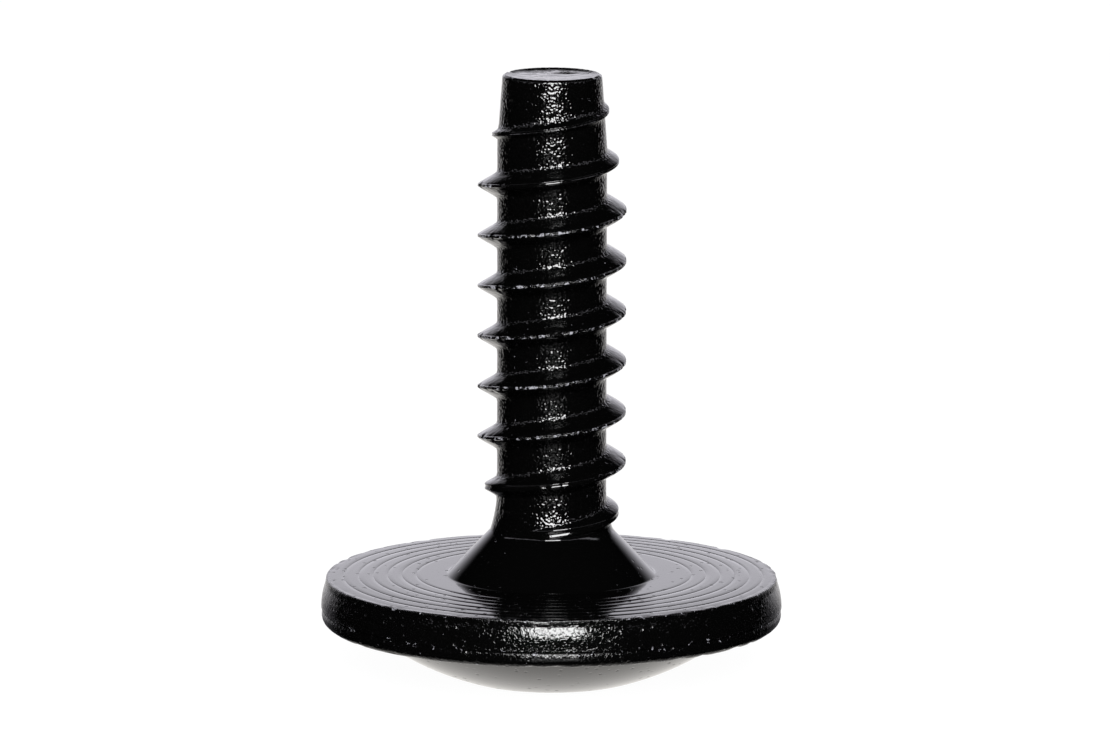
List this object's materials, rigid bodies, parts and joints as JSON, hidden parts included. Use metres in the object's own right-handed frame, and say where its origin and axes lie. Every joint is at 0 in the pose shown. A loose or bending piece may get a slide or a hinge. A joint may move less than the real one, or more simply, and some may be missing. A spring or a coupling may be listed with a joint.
{
  "type": "tapping screw",
  "caption": "Tapping screw with a wide flange head, a domed face with a six-lobed recess, a cone collar, a coarse right-hand thread and a blunt tapered tip. Stands on its head.",
  "frame": {"origin": "centre of the narrow flat ring round the drive recess, on the screw's axis: the lowest plane of the part as it stands on its head", "axes": "+Z along the screw's axis, from the drive recess to the blunt tip; +X and +Y are across it"},
  "size_m": [0.0146, 0.0146, 0.0192],
  "materials": {
    "black_coat": "gloss"
  },
  "bodies": {
    "root": {"screw": "black_coat"}
  },
  "joints": []
}
